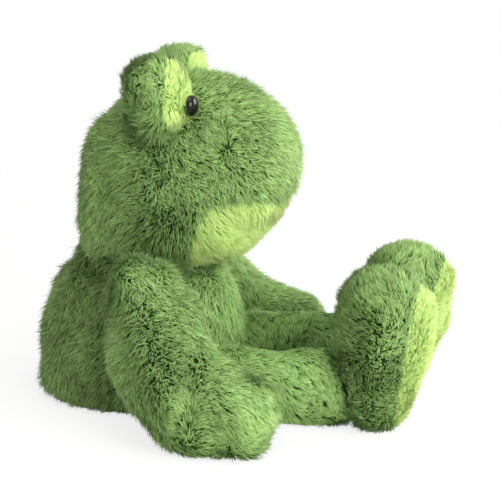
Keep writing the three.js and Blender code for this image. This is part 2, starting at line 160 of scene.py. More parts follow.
# %% [markdown]
# ### Long-pile plush
#
# The pile is brushed polyester. Little light gets between the roots, so each lock's colour is
# painted from nearly black green at its root, as painted shade, to a pale tip. No two locks take
# the brush alike, so each has its own shade, and slow patches lie where the pile was stroked.

# %% Plush material
def plush(name, root, body, tip, patch, spread):
    """Brushed pile. Its colour runs root, body, tip along each lock, the dark root being painted
    shade, times the lock's own shade, 1 give or take the spread, and slow patches of the given
    size in mm."""
    material, tree, place = new_material(name)
    along, lock = (add(tree, "Attribute", attribute_name=label).outputs["Fac"]
                   for label in ("along", "lock"))
    patches = add(tree, "TexNoise", {"Vector": place, "Scale": 1 / (patch * MM), "Detail": 2.0})
    up_body = mixed(tree, ranged(tree, along, 0.0, 1.0, 0.0, 0.45), colour(root), colour(body))
    up_tip = mixed(tree, ranged(tree, along, 0.0, 1.0, 0.35, 1.0), up_body, colour(tip))
    shade = ranged(tree, lock, 1 - spread, 1 + spread, clamp=False)
    stroke = ranged(tree, patches.outputs["Fac"], 0.82, 1.12, 0.3, 0.7)
    varied = add(tree, "HueSaturation", {
        "Hue": ranged(tree, lock, 0.494, 0.506), "Value": worked(tree, "MULTIPLY", shade, stroke),
        "Color": up_tip})
    end_in(tree, {
        "Base Color": varied.outputs["Color"], "Roughness": 0.62, "Specular IOR Level": 0.12,
        "Sheen Weight": 0.2, "Sheen Roughness": 0.5, "Sheen Tint": colour(tip)})
    return material


# The first colour of each plush is its root, painted dark as the shade between the locks.
green_plush = plush("green_brushed_polyester_plush", "#132a08", "#567f30", "#a6c47c", 34, 0.42)
lime_plush = plush("lime_brushed_polyester_plush", "#86ad40", "#a4c55c", "#c6da8e", 30, 0.16)
print("plush:", green_plush.name, lime_plush.name)

# %% [markdown]
# ### Backing, eyes, washers and pellet bag
#
# The pile grows out of a knitted backing, seen only between locks. The lime backing is in the
# pile's dye; the green one is painted darker than its dye, as painted shade.
# The eyes are polished black acrylic, and the washers milky polypropylene. The bag of pellets in
# the seat is calico. Knit and calico share one network, with bands one way or both ways.

# %% The other materials
def fabric(name, thread, gap, repeat, unevenness, roughness, directions):
    """Cloth with a soft band of thread in every repeat along each direction, and dark gaps. A
    wave texture turns 20 radians in a unit, so its scale is a full turn / 20 / the repeat."""
    material, tree, place = new_material(name)
    across, *more = (
        add(tree, "TexWave", {"Vector": place, "Scale": 2 * math.pi / 20 / repeat,
                              "Distortion": unevenness}, bands_direction=axis).outputs["Fac"]
        for axis in directions
    )
    for other in more:
        across = worked(tree, "MULTIPLY", across, other)
    face = mixed(tree, across, colour(gap), colour(thread))
    end_in(tree, {"Base Color": face, "Roughness": roughness})
    return material


def moulded(name, face, roughness, specular):
    """Moulded plastic with the faint ripple of a mould's polish in its bump."""
    material, tree, place = new_material(name)
    ripple = add(tree, "TexNoise", {"Vector": place, "Scale": 1 / (2 * MM), "Detail": 1.0})
    bump = add(tree, "Bump", {"Height": ripple.outputs["Fac"], "Strength": 0.04,
                              "Distance": 0.05 * MM})
    end_in(tree, {
        "Base Color": colour(face), "Roughness": roughness, "IOR": 1.49,
        "Specular IOR Level": specular, "Normal": bump.outputs["Normal"]})
    return material


KNIT = (7.54 * MM, 2.0, 0.95, "Z")  # repeat, unevenness, roughness and direction
# The green backing is painted darker than its dye, as the painted shade between the locks.
green_backing_painted_shade = fabric("green_knitted_backing_painted_shade", "#2c4a1e", "#172c0f", *KNIT)
lime_backing = fabric("lime_knitted_backing", "#8fb85a", "#6b9440", *KNIT)
black_acrylic = moulded("black_polished_acrylic", "#050505", 0.06, 0.3)
milky_plastic = moulded("milky_moulded_polypropylene", "#e6e6e2", 0.45, 0.5)
pellet_calico = fabric("unbleached_calico", "#e2dac6", "#b8ad93", 5.027 * MM, 0.4, 0.9, "XY")
print("materials:", len(bpy.data.materials))

# %% [markdown]
# ## The stuffed forms
#
# A stuffed bag swells between its seams, so every part is an oval that changes as it travels
# along a line, closed by a dome at each end. The line and the ovals pass smoothly through a few
# stations, in millimetres.

# %% Curves through stations
def spline(points, t):
    """A Catmull-Rom curve through points at t from 0 to 1, with its derivative. Each span is a
    cubic whose slopes at its two points are half the step between their neighbours. The end
    points' missing neighbours are mirrored."""
    p = np.vstack([2 * points[0] - points[1], points, 2 * points[-1] - points[-2]])
    spans = len(points) - 1
    at = np.clip(t, 0, 1) * spans
    i = np.minimum(at.astype(int), spans - 1)
    w = (at - i)[:, None]
    a, b, c, d = (p[i + k] for k in range(4))
    slope, bend, twist = (c - a) / 2, a - 2.5 * b + 2 * c - d / 2, (d - a) / 2 + 1.5 * (b - c)
    return b + w * (slope + w * (bend + w * twist)), slope + w * (2 * bend + w * 3 * twist)


def squared(value, squareness):
    """A cosine or sine pulled towards a square: its size to the power 2 / squareness."""
    return np.sign(value) * np.abs(value) ** (2 / squareness)


print("halfway through 0, 1, 4:", spline(np.array([[0.0], [1.0], [4.0]]), np.array([0.5]))[0])

# %% [markdown]
# A form is a dictionary: stations of (x, z, half depth, half width, jowl), the heights of the two
# domes, and where it stands. Its surface has two parameters: "around" turns about the line, and
# "along" runs from pole to pole.

# %% The surface of a stuffed form
DOME_SHARE = 0.22  # of "along" that each dome takes


def section(form, along, inset=0.0):
    """The oval at each "along": its centre, the line's direction, half depth, half width, jowl
    and scale. Inside a dome the end's oval moves out by the cosine of the dome's angle times its
    height, and shrinks by the sine. The inset, in mm, comes off every half size and dome."""
    start = np.clip(along / DOME_SHARE, 0, 1) * math.pi / 2
    end = np.clip((1 - along) / DOME_SHARE, 0, 1) * math.pi / 2
    t = (along - DOME_SHARE) / (1 - 2 * DOME_SHARE)
    line, heading = spline(form["stations"][:, :2], t)
    girth, _ = spline(form["stations"][:, 2:], t)
    girth[:, :2] -= np.reshape(inset, (-1, 1))
    if "axis" in form:
        heading = np.broadcast_to(np.array(form["axis"], float), heading.shape)
    heading = heading / np.linalg.norm(heading, axis=1, keepdims=True)
    blunt = form.get("start_bluntness", 2)
    out = (np.cos(end) * (form["end_dome"] - inset)
           - squared(np.cos(start), blunt) * (form["start_dome"] - inset))
    scale = np.where(along < 0.5, squared(np.sin(start), blunt), np.sin(end))
    return line + heading * out[:, None], heading, girth, scale


def local_surface(form, around, along, inset=0.0):
    """Points of the form in its own frame: centre + normal x depth x cosine + Y x width x sine,
    where the cosine and sine are squared off and the width grows by the jowl times the cosine."""
    centre, heading, girth, scale = section(form, along, inset)
    square = form.get("squareness", 2)
    cosine, sine = np.cos(around), np.sin(around)
    deep = girth[:, 0] * squared(cosine, square) * scale
    wide = girth[:, 1] * squared(sine, square) * (1 + girth[:, 2] * cosine) * scale
    x = centre[:, 0] + heading[:, 1] * deep
    z = centre[:, 1] - heading[:, 0] * deep
    return np.stack([x, wide, z], axis=1) * MM


tube = {"stations": np.array([[0, 0, 5, 5, 0], [9, 0, 5, 5, 0.0]]), "start_dome": 5, "end_dome": 5}
print("poles of a tube:", local_surface(tube, np.zeros(2), np.array([0.0, 1.0])).round(4).tolist())

# %% [markdown]
# No bag is filled evenly. Slow lumps, a millimetre or two high, keep the ovals from looking
# turned on a lathe. They are waves in space, so the pile planted on them follows.

# %% Lumps and other slow waves
def waves(points, size, seed, count=7):
    """Three smooth values in about -1 to 1 at each point: mixed sines in random directions, of
    wavelengths near the given size in metres."""
    random = np.random.default_rng(seed)
    directions = random.normal(size=(count, 3))
    directions /= np.linalg.norm(directions, axis=1, keepdims=True)
    lengths = size * random.uniform(0.7, 1.4, count)
    phase = points @ (directions * (2 * math.pi / lengths)[:, None]).T
    mixing = random.normal(size=(count, 3)) / math.sqrt(count / 2)
    return np.sin(phase + random.uniform(0, 2 * math.pi, count)) @ mixing


CRUSH_HEIGHT = 14 * MM


def skin(form, around, along, inset=0.0):
    """Points of the form in the frog's frame: the local surface, drawn in by the inset less the
    height of the lump there, pressed clear of other parts, and stood in its place. Near the
    floor the pile is crushed, so the inset fades there."""
    base = local_surface(form, around, along)
    lump = waves(base, form["lump_size"], form["seed"])[:, 0] * form["lump_height"]
    height = (base @ form["turn"].T + form["origin"])[:, 2] / CRUSH_HEIGHT
    crushed = inset * np.clip(height, 0.2, 1)
    base = local_surface(form, around, along, crushed - lump * np.clip(height, 0, 1))
    for press in form.get("presses", ()):
        base = press(base)
    return base @ form["turn"].T + form["origin"]


print("waves at three places:", waves(np.eye(3) * 0.1, 42 * MM, 1)[:, 0].round(2))

# %% [markdown]
# Where a limb's root seats in a larger bag, the cloth of that bag is pushed in to a dimple. A
# press is a function that moves whatever lies in the limb's way.

# %% Dimples
def ball_press(centre, radius):
    """Moves points inside a ball straight out from its centre to its surface."""
    def press(points):
        away = points - centre
        length = np.maximum(np.linalg.norm(away, axis=1, keepdims=True), 1e-9)
        return centre + away * np.maximum(1, radius / length)
    return press


def shaft_press(centre, direction, radius):
    """Moves points in the path of a round-ended shaft, which leaves a centre along a direction,
    back onto its end: along = -square root of (radius squared - off squared)."""
    direction = np.array(direction, float) / np.linalg.norm(direction)

    def press(points):
        away = points - centre
        along = away @ direction
        off = np.linalg.norm(away - along[:, None] * direction, axis=1)
        seat = -np.sqrt(np.maximum(radius**2 - off**2, 0))
        inside = (off < radius) & (along > seat)
        return points + (np.where(inside, seat - along, 0))[:, None] * direction
    return press


print("10 mm, pressed by a 28 mm ball:", ball_press(np.zeros(3), 28)(np.array([[10.0, 0, 0]])))

# %% [markdown]
# ## The frog's own numbers
#
# Each part stands on its joint, which the frame gives. The torso stands below the neck's.

# %% Joints and turns
pivot = {joint["child"]: np.array(joint["pos_m"], float) for joint in frame["joints"]}
print("joints carry:", sorted(pivot))


def turn_about(axis, degrees):
    """The rotation matrix that turns Y towards Z, about x, or Z towards X, about y."""
    c, s = math.cos(math.radians(degrees)), math.sin(math.radians(degrees))
    i, j = {"x": (1, 2), "y": (2, 0)}[axis]
    turn = np.eye(3)
    turn[[i, i, j, j], [i, j, i, j]] = c, -s, s, c
    return turn


def make_form(stations, start_dome, end_dome, origin, turn=np.eye(3), **rest):
    """A form with the settings that most of them share."""
    return {"stations": np.array(stations, float), "start_dome": start_dome, "end_dome": end_dome,
            "origin": np.array(origin, float), "turn": turn, "lump_size": 42 * MM,
            "lump_height": 1.2, **rest}


# %% [markdown]
# The torso is a pear, and the head a wide egg with jowls. They could be sculpted, but a few ovals
# are easier to measure and to change. The head nods on a dome of the torso.

# %% Torso and head
NECK_RADIUS, SHOULDER_RADIUS, HIP_RADIUS, ANKLE_RADIUS = 46, 28, 27, 26  # all these in mm
TORSO_HEIGHT, TORSO_DEPTH, TORSO_WIDTH = 96, 156, 128
SHOULDER = np.array([22.464, 78.5, 98.0])  # from the point of the floor below the neck
HIP = np.array([68.0, 45.056, 27.0])
HEAD_BACK, HEAD_LENGTH, HEAD_HEIGHT, HEAD_WIDTH, HEAD_MIDDLE = -42, 160, 148, 126, 79
CLEARANCE = 0.6  # between two skins that only touch
JOINT_ROOM = 2  # between two skins that turn against each other
NOD_ROOM = 9.3  # degrees that the head's underside rises outwards, for its nod of 8
JOWL_SINK = 3  # how deep a shoulder may press into the head's pile
RIM_HEIGHT, RIM_SHARE = 14, 0.09  # the rounded rim of the torso's top

torso_rows = [[0.21, -0.038, 0.936, 0.96], [0.52, 0.016, 1, 1], [0.76, 0.027, 0.946, 0.95],
              [1, 0.032, 0.84, 0.9]]
head_rows = [[0.149, -0.14, 0.86, 0.82, 0.22], [0.28, -0.075, 0.976, 0.96, 0.32],
             [0.435, -0.02, 1.02, 1, 0.42], [0.589, -0.003, 0.993, 1, 0.42],
             [0.72, -0.003, 0.94, 1, 0.32], [0.821, 0.008, 0.785, 0.97, 0.2],
             [0.905, 0.018, 0.59, 0.88, 0.12], [0.955, 0.01, 0.37, 0.69, 0.08]]


def dome_onto_neck(points):
    """Rounds the torso's rim like a quarter of an oval, lifts its middle to the neck's dome, a
    ball a little smaller than its seat in the head, keeps the ring round it flat for a nod, and
    keeps the torso on the floor."""
    x, y, z = (points / MM).T
    rise = np.clip((z - TORSO_HEIGHT) / RIM_HEIGHT + 1, 0, 1)
    drawn_in = 1 - RIM_SHARE * (1 - np.sqrt(1 - 0.99 * rise**2))
    x, y = x * drawn_in, y * drawn_in
    ball = TORSO_HEIGHT + np.sqrt(np.maximum((NECK_RADIUS - JOINT_ROOM) ** 2 - x**2 - y**2, 0))
    z = np.where((z > TORSO_HEIGHT - 8) & (ball > TORSO_HEIGHT), ball, np.minimum(z, TORSO_HEIGHT))
    return np.stack([x, y, np.maximum(z, 0.4)], axis=1) * MM


def seat_on_neck(points):
    """Raises the head's underside to a cone with room to nod, and to the dimple over the neck."""
    x, y, z = (points / MM).T
    off = np.hypot(x, y)
    cone = off * math.tan(math.radians(NOD_ROOM))
    dimple = np.sqrt(np.maximum((NECK_RADIUS + CLEARANCE) ** 2 - off**2, 0))
    return np.stack([x, y, np.maximum(z, np.maximum(cone, dimple))], axis=1) * MM


def shoulder_presses(lower, radius):
    """The balls at both shoulders, for a form whose joint is "lower" mm above the floor."""
    return [ball_press((SHOULDER - (0, 0, lower)) * (1, side, 1) * MM, radius * MM)
            for side in (1, -1)]


neck = pivot["head"]
torso_origin = neck * (1, 1, 0)
hip_presses = [
    shaft_press(HIP * (1, side, 1) * MM, (math.cos(a), 0, math.sin(a)),
                (HIP_RADIUS + JOINT_ROOM) * MM)
    for side in (1, -1) for a in np.radians([12, -8, -28, -48, -70])  # the hip's whole swing
]
torso_form = make_form(
    [[f * TORSO_DEPTH, h * TORSO_HEIGHT, d * TORSO_DEPTH / 2, w * TORSO_WIDTH / 2, 0]
     for h, f, d, w in torso_rows],
    24, 12, torso_origin, axis=(0, 1), start_bluntness=2.6, seed=11,
    presses=[dome_onto_neck, *hip_presses, *shoulder_presses(0, SHOULDER_RADIUS + CLEARANCE)],
)
head_form = make_form(
    [[HEAD_BACK + a * HEAD_LENGTH, HEAD_MIDDLE + u * HEAD_HEIGHT, d * HEAD_HEIGHT / 2,
      w * HEAD_WIDTH / 2, j] for a, u, d, w, j in head_rows],
    25, 8, neck, axis=(1, 0), squareness=2.1, seed=12,
    presses=[*shoulder_presses(TORSO_HEIGHT, SHOULDER_RADIUS - JOWL_SINK), seat_on_neck],
)
print("torso and head stand at", torso_origin.round(4), neck.round(4))

# %% [markdown]
# Each eye sits low on the front of a small stuffed egg on the crown. The egg's height follows
# the frame's eye, so that the two stay together.

# %% Eye mounds
MOUND_DEPTH, MOUND_WIDTH, MOUND_HEIGHT, MOUND_LEAN = 52, 52, 60, 13
MOUND_X, MOUND_Y, MOUND_SEAM_X, EYE_DROP = 25.5, 37.8, 5, 6
eye_low, eye_high = (np.array(corner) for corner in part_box("eye_right"))
eye_height = (eye_low[2] + eye_high[2]) / 2
mound_height = eye_height + EYE_DROP * MM


def mound_form(side):
    """An upright egg whose line leans back."""
    third = MOUND_HEIGHT / 6
    lean = math.tan(math.radians(MOUND_LEAN))
    rows = [[-e * third * lean, e * third, MOUND_DEPTH / 2 * g, MOUND_WIDTH / 2 * g, 0]
            for e, g in ((-1, 0.94), (0, 1), (1, 0.94))]
    place = (neck[0] + MOUND_X * MM, side * MOUND_Y * MM, mound_height)
    return make_form(rows, 2 * third, 2 * third, place, seed=20 + side, lump_height=0.6)


print("eye mounds' height:", round(mound_height, 4))

# %% [markdown]
# A limb's root is a ball about its joint, so it goes on filling its dimple when it turns. The
# feet are dimpled over the legs in the same way.

# %% Arms, legs and feet
ARM_DROP, ARM_REACH, ARM_GIRTH, HAND_THICKNESS, HAND_DOME, ARM_SPLAY = 80, 78, 70, 56, 24, 30
LEG_LENGTH = 85
FOOT_DEPTH, FOOT_WIDTH, FOOT_HEIGHT, FOOT_X, FOOT_Z, FOOT_SEAM_X = 77, 78, 118, 28, 37.5, 17
LEG_LIFT = {"right": 0.0, "left": 3.6}
FOOT_LEAN = {"right": 9.0, "left": 19.0}
arm_rows = [[0.11, -0.27, 0.96, 0.87], [0.24, -0.6, 1.02, 0.95], [0.48, -0.885, 1.02, 0.98],
            [1, -1, 0.83, 0.96]]
foot_rows = [[0.25, 0.9, 0.9], [0.5, 1, 1], [0.73, 0.93, 0.92]]


def arm_form(name, side):
    """A ball at the shoulder, a tube down to the wrist, and a hand forwards along the floor."""
    root = SHOULDER_RADIUS - 0.3
    rows = [[0, 0, root, root, 0]] + [
        [r * ARM_REACH, d * ARM_DROP, g * ARM_GIRTH / 2, t * HAND_THICKNESS / 2, 0]
        for r, d, g, t in arm_rows
    ]
    turn = turn_about("x", side * ARM_SPLAY)
    return make_form(rows, root, HAND_DOME, pivot[f"arm_{name}"], turn, seed=30 + side)


def leg_form(name, side):
    """A tube between a ball in the hip's dimple and a ball in the foot's."""
    hip, ankle = HIP_RADIUS - 0.3, ANKLE_RADIUS - 0.3
    rows = [[0, 0, hip, hip, 0], [LEG_LENGTH / 2, 0, (hip + ankle) / 2, (hip + ankle) / 2, 0],
            [LEG_LENGTH, 0, ankle, ankle, 0]]
    turn = turn_about("y", -LEG_LIFT[name])
    return make_form(rows, hip, ankle, pivot[f"leg_{name}"], turn, seed=40 + side)


def foot_form(name, side):
    """An upright puffy oval whose back is dimpled over the ankle."""
    rows = [[FOOT_X, FOOT_Z + (h - 0.5) * FOOT_HEIGHT, d * FOOT_DEPTH / 2, w * FOOT_WIDTH / 2, 0]
            for h, d, w in foot_rows]
    lean = FOOT_LEAN[name]
    back = turn_about("y", -lean - LEG_LIFT[name]) @ (-1, 0, 0)
    presses = [
        shaft_press(np.zeros(3), turn_about("y", tilt) @ back, (ANKLE_RADIUS + JOINT_ROOM) * MM)
        for tilt in (-15, -7, 0, 7, 15)
    ]
    dome = 0.255 * FOOT_HEIGHT
    return make_form(rows, dome, dome, pivot[f"foot_{name}"], turn_about("y", lean), seed=50 + side,
                     presses=presses)


SIDES = (("left", 1), ("right", -1))
forms = {"torso": torso_form, "head": head_form}
for name, side in SIDES:
    forms[f"eye_mound_{name}"] = mound_form(side)
    forms[f"arm_{name}"] = arm_form(name, side)
    forms[f"leg_{name}"] = leg_form(name, side)
    forms[f"foot_{name}"] = foot_form(name, side)

print("forms:", ", ".join(forms))

# %% [markdown]
# ## Meshes
#
# A form becomes a grid of four-sided faces, with a fan of triangles about each pole.

# %% From a surface to a mesh
def mesh_piece(name, points, corners, sizes, materials):
    """A smooth-shaded mesh object, from its points, the corners of all its faces in a row, and
    how many corners each face has."""
    mesh = bpy.data.meshes.new(name)
    mesh.vertices.add(len(points))
    mesh.vertices.foreach_set("co", points.astype(np.float32).ravel())
    mesh.loops.add(len(corners))
    mesh.loops.foreach_set("vertex_index", corners.astype(np.int32))
    mesh.polygons.add(len(sizes))
    mesh.polygons.foreach_set("loop_start", (np.cumsum(sizes) - sizes).astype(np.int32))
    mesh.polygons.foreach_set("use_smooth", np.ones(len(sizes), bool))
    for material in materials:
        mesh.materials.append(material)
    mesh.update(calc_edges=True)
    return placed(name, mesh)


def dots(a, b):
    """The dot product of each row of one array with that row of another."""
    return np.einsum("ij,ij->i", a, b)


def grid_piece(name, surface, columns, rows, materials):
    """A mesh of a surface of two parameters, closed round itself and by a point at each pole."""
    around = np.linspace(0, 2 * math.pi, columns, endpoint=False)
    along = np.linspace(0, 1, rows + 2)[1:-1]
    u, v = (a.ravel() for a in np.meshgrid(around, along))
    points = np.vstack([surface(u, v), surface(np.zeros(2), np.array([0.0, 1.0]))])
    row = np.arange(rows - 1)[:, None] * columns
    side = np.arange(columns)
    after = (side + 1) % columns
    quads = np.stack([row + side, row + side + columns, row + after + columns, row + after],
                     axis=-1).reshape(-1, 4)
    low, high = len(points) - 2, len(points) - 1
    last = (rows - 1) * columns
    start_fan = np.stack([np.full(columns, low), side, after], axis=1)
    end_fan = np.stack([np.full(columns, high), last + after, last + side], axis=1)
    corners = np.concatenate([quads.ravel(), start_fan.ravel(), end_fan.ravel()])
    sizes = np.array([4] * len(quads) + [3] * 2 * columns)
    piece = mesh_piece(name, points, corners, sizes, materials)
    a, b, c = (points[start_fan[:, k]] - points.mean(0) for k in range(3))
    if dots(a, np.cross(b, c)).sum() < 0:
        piece.data.flip_normals()
    return piece


print("the square of the way 3, 4:", dots(np.array([[3, 4]]), np.array([[3, 4]])))

# %% [markdown]
# The colour changes at the mouth, where the lime chin meets the crown, at the rim of each eyelid
# and at the edge of each sole. A seam is a signed distance, positive on its lime side, so that it
# can colour the backing and choose the locks.

# %% Seams between green and lime
MOUTH_HEIGHT, MOUTH_CORNER_X, CORNER_RADIUS, THROAT_X = 66, 65, 14, 16
LID_OVERHANG = 3


def local_mm(form, points):
    """Points of the frog's frame in a form's own frame, in millimetres."""
    return (points - form["origin"]) @ form["turn"] / MM


def chin_depth(points):
    """How deep in the chin panel a point of the head lies: the smaller of its depths below the
    mouth seam and before the throat seam, with the corner rounded."""
    x, _, z = local_mm(head_form, points).T
    below = MOUTH_HEIGHT - z
    slope = np.array([MOUTH_CORNER_X - CORNER_RADIUS / 2 - THROAT_X,
                      MOUTH_HEIGHT - CORNER_RADIUS + NECK_RADIUS])
    slope = slope / np.linalg.norm(slope)
    ahead = (x - THROAT_X) * slope[1] - (z + NECK_RADIUS) * slope[0]
    corner = np.hypot(np.minimum(below - CORNER_RADIUS, 0), np.minimum(ahead - CORNER_RADIUS, 0))
    return np.minimum(np.minimum(below, ahead), CORNER_RADIUS - corner)


def lid_depth(points):
    """How far before its seam a point of an eye mound lies, where green pile overhangs it."""
    return (points[:, 0] - neck[0]) / MM - MOUND_X - MOUND_SEAM_X - LID_OVERHANG


def sole_depth(form):
    """The function that tells how far before the sole's seam a point of a foot lies."""
    return lambda points: local_mm(form, points)[:, 0] - FOOT_X - FOOT_SEAM_X


lime_depth = {"head": chin_depth}
for name, _ in SIDES:
    lime_depth[f"eye_mound_{name}"] = lid_depth
    lime_depth[f"foot_{name}"] = sole_depth(forms[f"foot_{name}"])
print("forms with a seam:", sorted(lime_depth))

# %% [markdown]
# ## Sewing the skins
#
# Each skin is its form drawn in by the depth of the pile. It stands for the panels and the
# filling of the frame, because a stuffed bag is one soft thing.

# %% Skins
# How deep under the form's outline the backing of a part lies, in mm.
PILE_DEPTH = {"torso": 8, "head": 9.2, "eye": 5.8, "arm": 6.2, "leg": 5, "foot": 6}
BODY = {name: "head" if name.startswith("eye_mound") else name for name in forms}

for name, form in forms.items():
    inset = PILE_DEPTH[name.split("_")[0]]
    fine = (48, 40) if name.startswith("eye") else (88, 76)
    piece = grid_piece(f"{name}_skin", lambda u, v: skin(form, u, v, inset), *fine,
                       [green_backing_painted_shade, lime_backing])
    if name in lime_depth:
        centres = np.zeros(len(piece.data.polygons) * 3)
        piece.data.polygons.foreach_get("center", centres)
        lime = lime_depth[name](centres.reshape(-1, 3)) > 0
        piece.data.polygons.foreach_set("material_index", lime.astype(np.int32))
    stood_for = [node for node in frame["nodes"] if node.startswith(name)]
    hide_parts(*stood_for)
    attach(piece, BODY[name])
    print(piece.name, "has", len(piece.data.polygons), "faces")

# %% [markdown]
# ## The pile
#
# ### Planting
#
# A knitting machine spaces the locks evenly. Random roots would leave bald spots, so they follow
# two irrational steps, whose fractions never fall into rows. Running sums of the skin's area turn
# these into even spacing on the form.

# %% Where the locks are planted
LOCKS_PER_MM2 = 0.95


def unit(vectors):
    """Vectors divided by their lengths."""
    return vectors / np.maximum(np.linalg.norm(vectors, axis=1, keepdims=True), 1e-12)


def flattened(vectors, normal):
    """The share of each vector that lies in the skin, at unit length."""
    return unit(vectors - dots(vectors, normal)[:, None] * normal)


def planted(form):
    """Around and along of evenly spaced roots. The first fraction is looked up in the running sum
    of area along the form, and the second in that of its row round the form."""
    rows, columns = 150, 96
    v, u = np.meshgrid(np.linspace(0, 1, rows + 1), np.linspace(0, 2 * math.pi, columns + 1),
                       indexing="ij")
    points = skin(form, u.ravel(), v.ravel()).reshape(rows + 1, columns + 1, 3) / MM
    onwards, sideways = np.diff(points, axis=0)[:, :-1], np.diff(points, axis=1) / 2
    area = np.linalg.norm(np.cross(onwards, sideways[:-1] + sideways[1:]), axis=-1)
    index = np.arange(1, int(area.sum() * LOCKS_PER_MM2) + 1)
    first, second = (index * 0.7548776662) % 1, (index * 0.5698402910) % 1
    row_sums = np.concatenate([[0], np.cumsum(area.sum(1))])
    at_row = np.interp(first, row_sums / row_sums[-1], np.arange(rows + 1))
    row = np.minimum(at_row.astype(int), rows - 1)
    sums = np.hstack([np.zeros((rows, 1)), np.cumsum(area, axis=1)]) / area.sum(1)[:, None]
    shelves = (sums + np.arange(rows)[:, None] * 2).ravel()
    at = np.clip(np.searchsorted(shelves, second + row * 2) - row * (columns + 1), 1, columns)
    before, behind = sums[row, at - 1], sums[row, at]
    at_column = at - 1 + (second - before) / np.maximum(behind - before, 1e-12)
    return at_column / columns * 2 * math.pi, at_row / rows


def rooted(form, inset):
    """Roots on the skin, the outward normal at each, and the way along the form. Where the ovals
    cross inside a sharp bend, the skin runs backwards in a fold, and no lock grows in it."""
    around, along = planted(form)
    along = np.clip(along, 0.004, 0.996)
    step = 2e-3
    place = skin(form, around, along, inset)
    sideways = skin(form, around + step, along, inset) - skin(form, around - step, along, inset)
    onwards = skin(form, around, along + step, inset) - skin(form, around, along - step, inset)
    normal = unit(np.cross(onwards, sideways))
    centre, heading, _, _ = section(form, along)
    ahead, spine = (np.insert(a, 1, 0, axis=1) @ form["turn"].T for a in (heading, centre * MM))
    outward = dots(normal, place - form["origin"] - spine)
    normal *= np.sign(np.median(np.sign(outward)))
    open_skin = dots(unit(onwards), ahead) > -0.2
    return [array[open_skin] for array in (place, normal, unit(onwards))]


def within(form, points, margin):
    """True where a point lies inside a form drawn in by a margin in millimetres: where its offset
    in the nearest of many ovals is under that oval's half sizes."""
    centre, heading, girth, scale = section(form, np.linspace(0.01, 0.99, 64))
    local = local_mm(form, points)
    x, z = local[:, :1] - centre[:, 0], local[:, 2:] - centre[:, 1]
    ahead = x * heading[:, 0] + z * heading[:, 1]
    off = x * heading[:, 1] - z * heading[:, 0]
    near = np.argmin(ahead**2 + 0.05 * off**2, axis=1)
    ahead, off = (np.take_along_axis(a, near[:, None], 1)[:, 0] for a in (ahead, off))
    deep = np.maximum(girth[near, 0] * scale[near] - margin, 0.1)
    wide = girth[near, 1] * (1 + girth[near, 2] * np.clip(off / deep, -1, 1)) * scale[near]
    wide = np.maximum(wide - margin, 0.1)
    return ((off / deep) ** 2 + (local[:, 1] / wide) ** 2 < 1) & (np.abs(ahead) < 4)


print("locks planted on the torso:", len(planted(torso_form)[0]))

# %% [markdown]
# ### Locks that cling together
#
# Brushed pile parts into tufts. Space is divided into cells the size of a tuft, each with one
# jittered middle, and every lock leans its tip towards the nearest.

# %% Tufts
def scrambled(cells, seed):
    """Three random numbers from 0 to 1 for each cell, always the same ones: whole numbers are
    multiplied by large odd ones and mixed by shifts."""
    with np.errstate(over="ignore"):
        key = cells.astype(np.int64).astype(np.uint64)
        odd = np.array([0x9E3779B97F4A7C15, 0xC2B2AE3D27D4EB4F, 0x165667B19E3779F9], np.uint64)
        mix = np.bitwise_xor.reduce(key * odd, axis=-1) + np.uint64(seed * 7919)
        values = []
        for _ in range(3):
            mix ^= mix >> np.uint64(29)
            mix *= np.uint64(0xBF58476D1CE4E5B9)
            mix ^= mix >> np.uint64(32)
            values.append((mix >> np.uint64(40)).astype(float) / 2**24)
    return np.stack(values, axis=-1)


def tufts(points, size, seed):
    """The middle of the tuft nearest each point, and that tuft's three random numbers."""
    cell = np.floor(points / size)
    nearest = np.full(len(points), np.inf)
    middle, character = np.zeros_like(points), np.zeros_like(points)
    for step in np.stack(np.meshgrid(*[(-1, 0, 1)] * 3), axis=-1).reshape(-1, 3):
        here = (cell + step + scrambled(cell + step, seed)) * size
        away = np.linalg.norm(here - points, axis=1)
        closer = away < nearest
        nearest[closer] = away[closer]
        middle[closer] = here[closer]
        character[closer] = scrambled((cell + step)[closer], seed + 1)
    return middle, character


print("a tuft's middle, mm:", (tufts(np.zeros((1, 3)), 4.5 * MM, 1)[0] / MM).round(1))

# %% [markdown]
# ### Rubbed and stroked places
#
# Where the pile was rubbed, its locks stand up and point every way, and the eye looks down into
# the dark between them; their colour is also painted darker there, as painted shade. Where it
# was stroked, they lie flat, and their colour is painted lighter, as painted light. Each place is
# a centre and a reach, and its effect fades as exp(-(distance / reach)^2).

# %% Where the pile was rubbed or stroked
# Places of strength above 0 are rubbed and painted darker, as painted shade; those below 0 are
# stroked and painted lighter, as painted light.
RUBBED = np.array([  # x, y, z and reach, in mm in the frog's frame, and strength
    (-50, 60, 141, 22, 1.0), (-32, 58, 137, 15, 0.8), (-43, 50, 122, 15, 0.8),  # under the cheek
    (-58, 42, 200, 11, 1.0), (-60, 51, 178, 6, 0.8), (-60, 57, 165, 6, 0.6),  # behind the eye
    (-49, 50, 185, 5, 0.9), (-46, 55, 175, 5, 0.9), (-26, 40, 222, 14, 0.4),
    (16, 50, 188, 16, 0.25), (26, 46, 172, 12, 0.3),  # the side of the snout
    (-44, 104, 90, 22, 0.7), (-30, 125, 56, 20, 0.8),  # arm
    (102, 74, 78, 14, 0.8), (94, 76, 58, 12, 0.5), (104, 78, 36, 15, 0.6),  # foot
    # Stroked places on the belly, legs, arms and under the chin, painted lighter as painted light:
    (-6, 4, 72, 34, -0.6), (52, 61, 38, 30, -0.7), (27, 138, 34, 22, -0.6),  # stroked
    (-6, 38, 122, 22, -0.8),
])
RUBBED = np.vstack([RUBBED, RUBBED * (1, -1, 1, 1, 1)])
print("rubbed or stroked places:", len(RUBBED))


